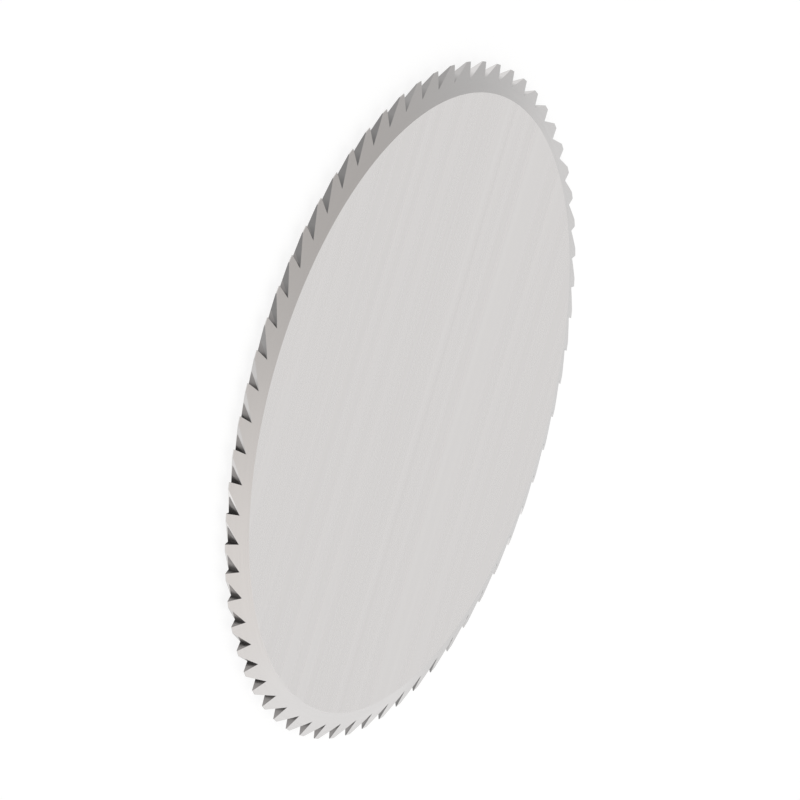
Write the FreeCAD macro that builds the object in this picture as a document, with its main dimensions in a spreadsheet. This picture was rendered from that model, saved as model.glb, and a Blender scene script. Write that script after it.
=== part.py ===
import FreeCAD, Part
import math
import os
import Sketcher

# Hose cutting blade, in millimetres: one steel disc, ground from both sides to a thin rim
# that is cut into hooked teeth. Seen from the front, the teeth point clockwise.
# The origin is the centre of the back face, which the blade lies on, and +Z is the way
# that the front face looks.

NODE = "toothed_blade"

SIZES = [
    ("blade_diameter", 100.0, "over the tooth tips"),
    ("blade_thickness", 3.1, "between the two flat faces"),
    ("bevel_width", 4.2, "each ground bevel, along the radius"),
    ("edge_thickness", 0.12, "left between the bevels at the tooth tips"),
    ("tooth_count", 64, "teeth round the rim"),
    ("tooth_land", 1.21, "each tooth tip, along the rim"),
    ("gullet_depth", 2.37, "from the tooth tips in to the gullet roots"),
    ("rake_angle", 20.7, "degrees that a leading face hooks back from its tip's radius"),
]

# Formulas that are shared by the sketches, in the sheet's own terms
TIP_RADIUS = "Sizes.blade_diameter / 2"
ROOT_RADIUS = f"{TIP_RADIUS} - Sizes.gullet_depth"
GULLET_ANGLE = "360 / Sizes.tooth_count - Sizes.tooth_land / Sizes.blade_diameter * 360 / pi"

# How a sketch names the two ends of a line, its own origin and its horizontal axis
START, END = 1, 2
ORIGIN = (-1, START)
HORIZONTAL_AXIS = -1


def make_sheet(doc):
    """List the driving dimensions, one to a row: name, number and meaning."""
    sheet = doc.addObject("Spreadsheet::Sheet", "Sizes")
    for row, (alias, value, meaning) in enumerate(SIZES, start=1):
        sheet.set(f"A{row}", alias)
        sheet.set(f"B{row}", str(value))
        sheet.set(f"C{row}", meaning)
        sheet.setAlias(f"B{row}", alias)
    doc.recompute()


def add_sketch(body, role, name):
    """Start a sketch on one of the body's own origin planes."""
    plane = next(item for item in body.Origin.OriginFeatures if item.Role == role)
    sketch = body.newObject("Sketcher::SketchObject", name)
    sketch.AttachmentSupport = (plane, "")
    sketch.MapMode = "FlatFace"
    return sketch


def add_line(sketch, start, end, construction=False):
    """Draw one straight line and give back its number."""
    segment = Part.LineSegment(FreeCAD.Vector(*start, 0), FreeCAD.Vector(*end, 0))
    return sketch.addGeometry(segment, construction)


def add_loop(sketch, corners):
    """Draw a closed loop of lines through the corners, each joined to the next."""
    following = corners[1:] + corners[:1]
    lines = [add_line(sketch, start, end) for start, end in zip(corners, following)]
    for line, next_line in zip(lines, lines[1:] + lines[:1]):
        constrain(sketch, "Coincident", line, END, next_line, START)
    return lines


def constrain(sketch, *terms):
    """Add one geometric constraint."""
    return sketch.addConstraint(Sketcher.Constraint(*terms))


def measure(sketch, formula):
    """Work out a formula of the sheet's sizes, as a plain number."""
    return float(sketch.evalExpression(formula))


def dimension(sketch, name, formula, kind, *terms):
    """Add a named dimension that follows a formula of the sheet's sizes."""
    value = measure(sketch, formula)
    if kind == "Angle":
        value = math.radians(value)
    index = constrain(sketch, kind, *terms, value)
    sketch.renameConstraint(index, name)
    sketch.setExpression(f"Constraints.{name}", formula)


def draw_section(sketch):
    """Draw half the disc's section: two flat faces, two bevels and the thin edge."""
    tip_radius = measure(sketch, TIP_RADIUS)
    face_radius = tip_radius - measure(sketch, "Sizes.bevel_width")
    thickness = measure(sketch, "Sizes.blade_thickness")
    half_edge = measure(sketch, "Sizes.edge_thickness") / 2
    corners = [
        (0, 0),
        (face_radius, 0),
        (tip_radius, thickness / 2 - half_edge),
        (tip_radius, thickness / 2 + half_edge),
        (face_radius, thickness),
        (0, thickness),
    ]
    back, back_bevel, edge, front_bevel, front, centre = add_loop(sketch, corners)
    constrain(sketch, "Coincident", back, START, *ORIGIN)
    for level in (back, front):
        constrain(sketch, "Horizontal", level)
    for upright in (edge, centre):
        constrain(sketch, "Vertical", upright)
    constrain(sketch, "Equal", back, front)
    constrain(sketch, "Equal", back_bevel, front_bevel)
    dimension(sketch, "tip_radius", TIP_RADIUS, "DistanceX", *ORIGIN, edge, START)
    dimension(sketch, "bevel_width", "Sizes.bevel_width", "DistanceX", back_bevel, START, back_bevel, END)
    dimension(sketch, "edge_thickness", "Sizes.edge_thickness", "DistanceY", edge, START, edge, END)
    dimension(sketch, "thickness", "Sizes.blade_thickness", "DistanceY", centre, END, centre, START)


def draw_gullet(sketch):
    """Draw the notch between two teeth as a triangle that stands on its root.

    One side is the hooked face of the tooth behind, the other is the sloping back of the
    tooth ahead. Each side runs as far past its tooth tip as it runs into the rim.
    """
    tip_radius = measure(sketch, TIP_RADIUS)
    root_radius = measure(sketch, ROOT_RADIUS)
    rake = math.radians(measure(sketch, "Sizes.rake_angle"))
    leading_turn = math.asin(tip_radius * math.sin(rake) / root_radius) - rake
    trailing_turn = leading_turn + math.radians(measure(sketch, GULLET_ANGLE))

    root = (root_radius, 0)
    leading_tip = (tip_radius * math.cos(leading_turn), -tip_radius * math.sin(leading_turn))
    trailing_tip = (tip_radius * math.cos(trailing_turn), -tip_radius * math.sin(trailing_turn))
    leading_end, trailing_end = (
        (2 * tip[0] - root[0], 2 * tip[1] - root[1]) for tip in (leading_tip, trailing_tip)
    )

    rake_face, _, tooth_back = add_loop(sketch, [root, leading_end, trailing_end])
    leading_radius = add_line(sketch, (0, 0), leading_tip, construction=True)
    trailing_radius = add_line(sketch, (0, 0), trailing_tip, construction=True)

    for radius, side in ((leading_radius, rake_face), (trailing_radius, tooth_back)):
        constrain(sketch, "Coincident", radius, START, *ORIGIN)
        constrain(sketch, "Symmetric", side, START, side, END, radius, END)
    constrain(sketch, "Equal", leading_radius, trailing_radius)
    constrain(sketch, "PointOnObject", rake_face, START, HORIZONTAL_AXIS)
    dimension(sketch, "root_radius", ROOT_RADIUS, "DistanceX", *ORIGIN, rake_face, START)
    dimension(sketch, "tip_radius", TIP_RADIUS, "Distance", leading_radius)
    dimension(sketch, "rake_angle", "Sizes.rake_angle", "Angle", rake_face, START, leading_radius, START)
    dimension(sketch, "gullet_angle", GULLET_ANGLE, "Angle", trailing_radius, START, leading_radius, START)


def make_blade(doc):
    """Turn the disc with its bevels, cut one gullet through it and repeat that all round."""
    body = doc.addObject("PartDesign::Body", NODE)
    body.Label = NODE
    body.Placement = FreeCAD.Placement()

    section = add_sketch(body, "XZ_Plane", "disc_section")
    draw_section(section)
    disc = body.newObject("PartDesign::Revolution", "ground_disc")
    disc.Profile = section
    disc.ReferenceAxis = (section, ["V_Axis"])
    disc.Angle = 360
    section.Visibility = False
    doc.recompute()

    outline = add_sketch(body, "XY_Plane", "gullet_outline")
    draw_gullet(outline)
    gullet = body.newObject("PartDesign::Pocket", "gullet")
    gullet.Profile = outline
    gullet.Type = "ThroughAll"
    gullet.Reversed = True
    outline.Visibility = False
    doc.recompute()

    teeth = body.newObject("PartDesign::PolarPattern", "teeth")
    teeth.Originals = [gullet]
    teeth.Axis = (outline, ["N_Axis"])
    teeth.Angle = 360
    teeth.setExpression("Occurrences", "Sizes.tooth_count")
    body.Tip = teeth
    doc.recompute()
    return body, disc, gullet, teeth


def check_features(doc, body):
    """Stop if any feature failed or the blade isn't one sound solid."""
    for item in doc.Objects:
        if "Invalid" in item.State or "Error" in item.State:
            raise RuntimeError(f"{item.Label} failed: {item.State}")
    shape = body.Shape
    if shape.isNull() or not shape.isValid() or len(shape.Solids) != 1:
        raise RuntimeError(f"{body.Label} isn't one sound solid")


def check_gullets(disc, gullet, teeth, count):
    """Stop unless every gullet removed the same metal as the first one."""
    first_cut = disc.Shape.Volume - gullet.Shape.Volume
    all_cuts = disc.Shape.Volume - teeth.Shape.Volume
    if first_cut <= 0 or not math.isclose(all_cuts, count * first_cut, rel_tol=1e-3):
        raise RuntimeError(f"one gullet removed {first_cut:.4f} mm3, all of them {all_cuts:.4f}")
    print(f"each gullet {first_cut:.4f} mm3, blade {teeth.Shape.Volume:.1f} mm3")


doc = FreeCAD.newDocument("hose_cutting_blade")
make_sheet(doc)
blade, ground_disc, first_gullet, tooth_pattern = make_blade(doc)
check_features(doc, blade)
check_gullets(ground_disc, first_gullet, tooth_pattern, tooth_pattern.Occurrences)

os.makedirs("parts", exist_ok=True)
blade.Shape.exportStep(f"parts/{blade.Label}.step")
print(f"{blade.Label}: {blade.Shape.BoundBox}")
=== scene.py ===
import math

import bpy
from mathutils import Matrix, Vector


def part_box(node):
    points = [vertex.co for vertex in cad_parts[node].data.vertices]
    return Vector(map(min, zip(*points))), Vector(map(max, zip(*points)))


# Hose cutting blade on a white floor, seen along the photograph's line of sight.
# Metres, in the blade's own frame: +Z leaves the front face, and the back face lies at z = 0.

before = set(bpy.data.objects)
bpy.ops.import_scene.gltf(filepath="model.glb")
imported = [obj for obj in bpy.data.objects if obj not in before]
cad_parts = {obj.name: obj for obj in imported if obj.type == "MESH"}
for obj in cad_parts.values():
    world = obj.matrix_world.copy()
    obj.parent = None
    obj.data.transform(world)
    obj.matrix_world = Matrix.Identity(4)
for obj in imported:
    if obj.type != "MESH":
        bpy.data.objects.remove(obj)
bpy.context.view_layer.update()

BLADE = "toothed_blade"
LOW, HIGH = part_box(BLADE)

# Where the finish changes on the way out from the middle
BEVEL_WIDTH = 0.0042
GULLET_DEPTH = 0.00237
TIP_RADIUS = (HIGH.x - LOW.x) / 2
FACE_RADIUS = TIP_RADIUS - BEVEL_WIDTH
ROOT_RADIUS = TIP_RADIUS - GULLET_DEPTH
EDGE_BLUR = 0.00003

# The photograph's view, which has no perspective: how far the blade's axis stands off the line
# of sight, how far it leans in the picture, how the blade is turned on the floor, and how many
# pixels of the picture's width the blade's diameter is long
AXIS_TO_SIGHT = math.radians(64.335)
AXIS_LEAN = math.radians(16.09)
LONG_AXIS_TURN = math.radians(180.304)
BLADE_PIXELS = 699.9
IMAGE_PIXELS = 800
CAMERA_DISTANCE = 0.4

STEEL = (0.787, 0.77, 0.763)
STEEL_EDGE_TINT = (0.75, 0.75, 0.75, 1)

# Brightness of the bevels and of the walls between the teeth, beside the flat faces. A wall is painted
# darker towards the gullet's root: painted shade that stands in for the dark deep reflections there.
# Towards the tip the walls keep a tone a little below the faces' steel. The shares of the gullet's depth
# say where the painted shade fades.
BEVEL_TONE = 0.89
LEADING_FACE_PAINTED_SHADE = (0.35, 0.88)
LEADING_FACE_SHADE_FADE = (0.2, 0.4)
TOOTH_BACK_PAINTED_SHADE = (0.5, 0.9)
TOOTH_BACK_SHADE_FADE = (0.0, 0.4)

# The walls are shaded as if they leaned back by this slope, so that they mirror the studio
# round the blade and not only the floor just below them. Their shape stays upright.
WALL_LEAN = 0.38

# How often the grinding lines repeat: in a metre along x, y and z, and on the bevels with the
# cosine, the sine and the radius, in metres, of a place on the rim
FINE_LINES = (6, 1500, 900)
BROAD_LINES = (4, 400, 900)
BROAD_SHARE = 0.65
CUT_LINES = (6000, 6000, 400)
RIM_LINES = (4, 4, 6500)

# What the lines do to the steel, from the lowest to the highest part of their noise
NOISE = {"Scale": 1.0, "Detail": 1.0, "Roughness": 0.6}
LINE_NOISE = (0.25, 0.75)
LINE_TONES = (0.98, 1.016)
FACE_ROUGHNESS = (0.31, 0.23)
BEVEL_ROUGHNESS = (0.23, 0.17)
CUT_ROUGHNESS = 0.08
LINE_DEPTH = 0.0000015
LINE_RELIEF = 0.3

# Which way a surface faces: a wall of a gullet is upright, and it is the leading face of a tooth
# if it looks clockwise, seen from the front, or else the back of one
WALL = (0.3, 0.6, 1.0, 0.0)
LEADING_FACE = (0.2, 0.5)
TOOTH_BACK = (-0.1, -0.25)

WHITE = (1, 1, 1, 1)
WARM_WHITE = (1, 0.97, 0.945, 1)

FLOOR_SIZE = 2.0
FLOOR_DROP = 0.00002
FLOOR_DIFFUSE = (0.28, 0.28, 0.28, 1)
FLOOR_TOP_UP = 0.8

# The studio round the blade, on a sphere of radius 1. A pair is two places between which it
# changes; two more numbers are the greys at those places. Beyond the blade it brightens towards
# +X and downwards, and HEIGHT_SHARE is how much of that is the height. High up it turns warm.
FAR_SIDE = (-0.2, 0.35)
HEIGHT_SHARE = 0.54
FAR_GREYS = (-0.736, -0.086, 0.56, 0.98)
FAR_GLOW = (-0.036, 0.114, 0.0, 0.13)
WARM_HEIGHT = (0.5, 0.75)

# On the camera's side it brightens upwards. Low down there it is dark in front, middle grey
# towards -X and bright towards +X.
NEAR_GREYS = (0.0, 1.0, 0.45, 0.65)
NEAR_LOW = (0.5, 0.3)
NEAR_LOW_GREYS = (-0.5, 0.5, 0.48, 0.85)
NEAR_FRONT = (-0.45, -0.75)
NEAR_FRONT_GREY = 0.32

# A white band stands on the floor all round.
FAR_BAND = (-0.2, 0.2, 1.0, 1.25)
NEAR_BAND = 1.0
BAND_BOTTOM = 0.02
NEAR_BAND_TOP = 0.05
FAR_BAND_TOP = 0.25

LAMP_PLACE = (0.25, -0.35, 0.6)
LAMP_SIZE = 0.6
LAMP_WATTS = 0.6


def add(tree, kind, sockets=None, **settings):
    """Add a shader node. Each socket takes a plain value or another node's output."""
    node = tree.nodes.new("ShaderNode" + kind)
    for name, value in settings.items():
        setattr(node, name, value)
    for key, value in (sockets or {}).items():
        if isinstance(value, bpy.types.NodeSocket):
            tree.links.new(value, node.inputs[key])
        else:
            node.inputs[key].default_value = value
    return node


def calc(tree, operation, *terms):
    """Do one step of arithmetic on numbers."""
    return add(tree, "Math", dict(enumerate(terms)), operation=operation).outputs[0]


def calc_vector(tree, operation, *terms):
    """Do one step of arithmetic on vectors. Two of the steps give a number."""
    result = "Value" if operation in ("LENGTH", "DOT_PRODUCT") else "Vector"
    return add(tree, "VectorMath", dict(enumerate(terms)), operation=operation).outputs[result]


def split(tree, vector):
    """Give a vector's three numbers."""
    return add(tree, "SeparateXYZ", {"Vector": vector}).outputs


def join(tree, x, y, z):
    """Make a vector of three numbers."""
    return add(tree, "CombineXYZ", {"X": x, "Y": y, "Z": z}).outputs[0]


def mix(tree, share, a, b):
    """Blend two numbers."""
    return add(tree, "Mix", {0: share, 2: a, 3: b}, data_type="FLOAT").outputs[0]


def ramp(tree, value, low, high, out_low=0.0, out_high=1.0, smooth=False):
    """Carry a value from one range to another, held at both ends."""
    kind = "SMOOTHSTEP" if smooth else "LINEAR"
    sockets = {"Value": value, "From Min": low, "From Max": high, "To Min": out_low, "To Max": out_high}
    return add(tree, "MapRange", sockets, interpolation_type=kind).outputs["Result"]


def lines(tree, place, repeats):
    """Noise from 0 to 1 that is squeezed into fine lines."""
    squeezed = calc_vector(tree, "MULTIPLY", place, repeats)
    return add(tree, "TexNoise", {"Vector": squeezed, **NOISE}).outputs["Fac"]


def start_material(name):
    """Make a material with an empty node tree."""
    material = bpy.data.materials.new(name)
    material.use_nodes = True
    material.node_tree.nodes.clear()
    return material, material.node_tree


def end_tree(tree, kind, shader):
    """Send a shader to the material's or the world's output."""
    output = add(tree, kind)
    tree.links.new(shader.outputs[0], output.inputs["Surface"])


def ground_steel(name):
    """Steel with straight grinding lines on the faces and lines round the rim on the bevels, and painted
    shade that darkens the gullet walls towards their roots.
    """
    material, tree = start_material(name)
    place = add(tree, "TexCoord").outputs["Object"]
    level_place = calc_vector(tree, "MULTIPLY", place, (1, 1, 0))
    radius = calc_vector(tree, "LENGTH", level_place)
    outward = calc_vector(tree, "NORMALIZE", level_place)
    clockwise = calc_vector(tree, "CROSS_PRODUCT", outward, (0, 0, 1))
    normal = add(tree, "NewGeometry").outputs["Normal"]
    flatness = calc(tree, "ABSOLUTE", calc_vector(tree, "DOT_PRODUCT", normal, (0, 0, 1)))
    facing = calc_vector(tree, "DOT_PRODUCT", normal, clockwise)

    is_bevel = ramp(tree, radius, FACE_RADIUS - EDGE_BLUR, FACE_RADIUS + EDGE_BLUR)
    is_leading = ramp(tree, facing, *LEADING_FACE)
    is_back = ramp(tree, facing, *TOOTH_BACK)
    is_tooth_side = calc(tree, "MAXIMUM", is_leading, is_back)
    is_cut = calc(tree, "MULTIPLY", ramp(tree, flatness, *WALL), is_tooth_side)

    cosine, sine, _ = split(tree, outward)
    face_lines = mix(tree, BROAD_SHARE, lines(tree, place, FINE_LINES), lines(tree, place, BROAD_LINES))
    rim_lines = lines(tree, join(tree, cosine, sine, radius), RIM_LINES)
    ground_lines = mix(tree, is_bevel, face_lines, rim_lines)
    grain = mix(tree, is_cut, ground_lines, lines(tree, place, CUT_LINES))

    ground_tone = mix(tree, is_bevel, 1.0, BEVEL_TONE)
    # Painted shade: the walls between the teeth are coloured darker towards the gullet's root, standing in
    # for the dark deep reflections there.
    from_root = ramp(tree, radius, ROOT_RADIUS, TIP_RADIUS)
    leading_painted_shade = ramp(tree, from_root, *LEADING_FACE_SHADE_FADE, *LEADING_FACE_PAINTED_SHADE)
    back_painted_shade = ramp(tree, from_root, *TOOTH_BACK_SHADE_FADE, *TOOTH_BACK_PAINTED_SHADE)
    cut_painted_shade = mix(tree, is_leading, back_painted_shade, leading_painted_shade)
    line_tone = ramp(tree, grain, *LINE_NOISE, *LINE_TONES)
    tone = calc(tree, "MULTIPLY", line_tone, mix(tree, is_cut, ground_tone, cut_painted_shade))
    colour = calc_vector(tree, "MULTIPLY", join(tree, tone, tone, tone), STEEL)

    face_roughness = ramp(tree, grain, *LINE_NOISE, *FACE_ROUGHNESS)
    bevel_roughness = ramp(tree, grain, *LINE_NOISE, *BEVEL_ROUGHNESS)
    ground_roughness = mix(tree, is_bevel, face_roughness, bevel_roughness)
    roughness = mix(tree, is_cut, ground_roughness, CUT_ROUGHNESS)
    relief = add(tree, "Bump", {"Strength": LINE_RELIEF, "Distance": LINE_DEPTH, "Height": grain})
    lean = join(tree, 0.0, 0.0, calc(tree, "MULTIPLY", is_cut, WALL_LEAN))
    leaning = calc_vector(tree, "ADD", relief.outputs["Normal"], lean)

    sockets = {
        "Base Color": colour,
        "Metallic": 1.0,
        "Roughness": roughness,
        "Specular Tint": STEEL_EDGE_TINT,
        "Normal": calc_vector(tree, "NORMALIZE", leaning),
    }
    end_tree(tree, "OutputMaterial", add(tree, "BsdfPrincipled", sockets))
    return material


def white_floor(name):
    """White floor, to the camera and in the steel, that keeps the blade's soft shadow."""
    material, tree = start_material(name)
    ray = add(tree, "LightPath").outputs
    seen = calc(tree, "MAXIMUM", ray["Is Camera Ray"], ray["Is Glossy Ray"])
    seen = calc(tree, "MAXIMUM", seen, ray["Is Transmission Ray"])
    top_up = add(tree, "Emission", {"Color": WHITE, "Strength": calc(tree, "MULTIPLY", seen, FLOOR_TOP_UP)})
    diffuse = add(tree, "BsdfDiffuse", {"Color": FLOOR_DIFFUSE})
    end_tree(tree, "OutputMaterial", add(tree, "AddShader", {0: top_up.outputs[0], 1: diffuse.outputs[0]}))
    return material


def add_floor():
    """Lay a wide square floor under the blade."""
    half = FLOOR_SIZE / 2
    corners = [(x, y, -FLOOR_DROP) for x, y in ((-half, -half), (half, -half), (half, half), (-half, half))]
    mesh = bpy.data.meshes.new("floor")
    mesh.from_pydata(corners, [], [(0, 1, 2, 3)])
    mesh.materials.append(white_floor("white_floor"))
    floor = bpy.data.objects.new("floor", mesh)
    bpy.context.scene.collection.objects.link(floor)


def add_world():
    """Put the soft studio round the blade."""
    world = bpy.data.worlds.new("studio")
    world.use_nodes = True
    bpy.context.scene.world = world
    tree = world.node_tree
    tree.nodes.clear()
    x, y, z = split(tree, add(tree, "TexCoord").outputs["Generated"])
    is_far = ramp(tree, y, *FAR_SIDE, smooth=True)

    slant = calc(tree, "MULTIPLY_ADD", z, -HEIGHT_SHARE, x)
    far_greys = ramp(tree, slant, *FAR_GREYS, smooth=True)
    far_dome = calc(tree, "ADD", far_greys, ramp(tree, slant, *FAR_GLOW))

    low_greys = ramp(tree, x, *NEAR_LOW_GREYS, smooth=True)
    low_dome = mix(tree, ramp(tree, y, *NEAR_FRONT, smooth=True), low_greys, NEAR_FRONT_GREY)
    near_dome = mix(tree, ramp(tree, z, *NEAR_LOW, smooth=True), ramp(tree, z, *NEAR_GREYS), low_dome)
    dome = mix(tree, is_far, near_dome, far_dome)

    band = mix(tree, is_far, NEAR_BAND, ramp(tree, x, *FAR_BAND))
    band_top = mix(tree, is_far, NEAR_BAND_TOP, FAR_BAND_TOP)
    is_band = ramp(tree, z, BAND_BOTTOM, band_top, 1.0, 0.0, smooth=True)

    is_warm = calc(tree, "MULTIPLY", is_far, ramp(tree, z, *WARM_HEIGHT))
    colour = add(tree, "Mix", {0: is_warm, 6: WHITE, 7: WARM_WHITE}, data_type="RGBA").outputs[2]
    sockets = {"Color": colour, "Strength": mix(tree, is_band, dome, band)}
    end_tree(tree, "OutputWorld", add(tree, "Background", sockets))


def add_lamp():
    """Hang one large square lamp over the camera's side, facing the blade."""
    light = bpy.data.lights.new("key", "AREA")
    light.size = LAMP_SIZE
    light.energy = LAMP_WATTS
    lamp = bpy.data.objects.new("key", light)
    lamp.location = LAMP_PLACE
    lamp.rotation_euler = (-Vector(LAMP_PLACE)).to_track_quat("-Z", "Y").to_euler()
    bpy.context.scene.collection.objects.link(lamp)


def add_camera():
    """Look at the blade from the photograph's side, without perspective."""
    long_axis = Vector((math.cos(LONG_AXIS_TURN), math.sin(LONG_AXIS_TURN), 0))
    normal = Vector((0, 0, 1))
    away = long_axis.cross(normal)
    towards_camera = math.cos(AXIS_TO_SIGHT) * normal - math.sin(AXIS_TO_SIGHT) * away
    across = math.sin(AXIS_TO_SIGHT) * normal + math.cos(AXIS_TO_SIGHT) * away
    right = math.cos(AXIS_LEAN) * across + math.sin(AXIS_LEAN) * long_axis
    up = math.cos(AXIS_LEAN) * long_axis - math.sin(AXIS_LEAN) * across

    lens = bpy.data.cameras.new("camera")
    lens.type = "ORTHO"
    lens.ortho_scale = 2 * TIP_RADIUS * IMAGE_PIXELS / BLADE_PIXELS
    camera = bpy.data.objects.new("camera", lens)
    turn = Matrix((right, up, towards_camera)).transposed().to_4x4()
    camera.matrix_world = Matrix.Translation((LOW + HIGH) / 2 + CAMERA_DISTANCE * towards_camera) @ turn
    bpy.context.scene.collection.objects.link(camera)
    bpy.context.scene.camera = camera


bpy.context.scene.view_settings.view_transform = "Standard"
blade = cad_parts[BLADE]
blade.material_slots[0].material = ground_steel("ground_steel")
add_floor()
add_world()
add_lamp()
add_camera()
